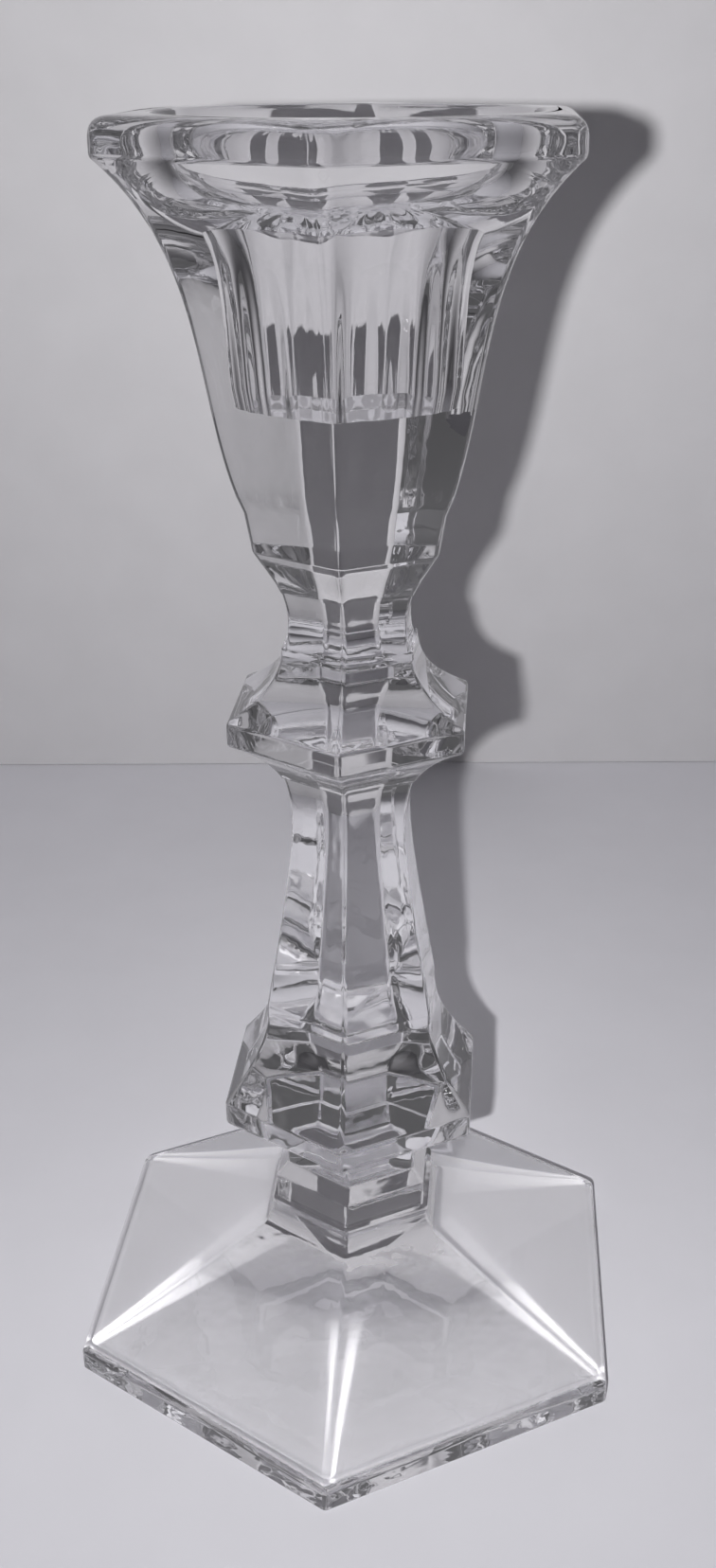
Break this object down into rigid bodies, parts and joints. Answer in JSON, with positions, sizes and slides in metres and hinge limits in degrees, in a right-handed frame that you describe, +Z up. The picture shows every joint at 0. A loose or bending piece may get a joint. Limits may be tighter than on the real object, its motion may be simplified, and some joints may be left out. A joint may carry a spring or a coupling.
{
  "type": "candlestick",
  "caption": "Clear crystal candlestick: hexagonal foot, knopped and waisted stem, and a flared hexagonal cup with a round fluted socket for a taper candle.",
  "frame": {"origin": "centre of the foot's flat underside", "axes": "+Z up along the candlestick's axis; -Y through a corner of every hexagon; +X through the middle of a hexagon's side"},
  "size_m": [0.0796, 0.092, 0.1775],
  "materials": {
    "clear_glass": "clear, polished"
  },
  "bodies": {
    "root": {"foot": "clear_glass", "plinth": "clear_glass", "lower_knop": "clear_glass", "stem": "clear_glass", "upper_knop": "clear_glass", "neck": "clear_glass", "candle_cup": "clear_glass"}
  },
  "joints": []
}
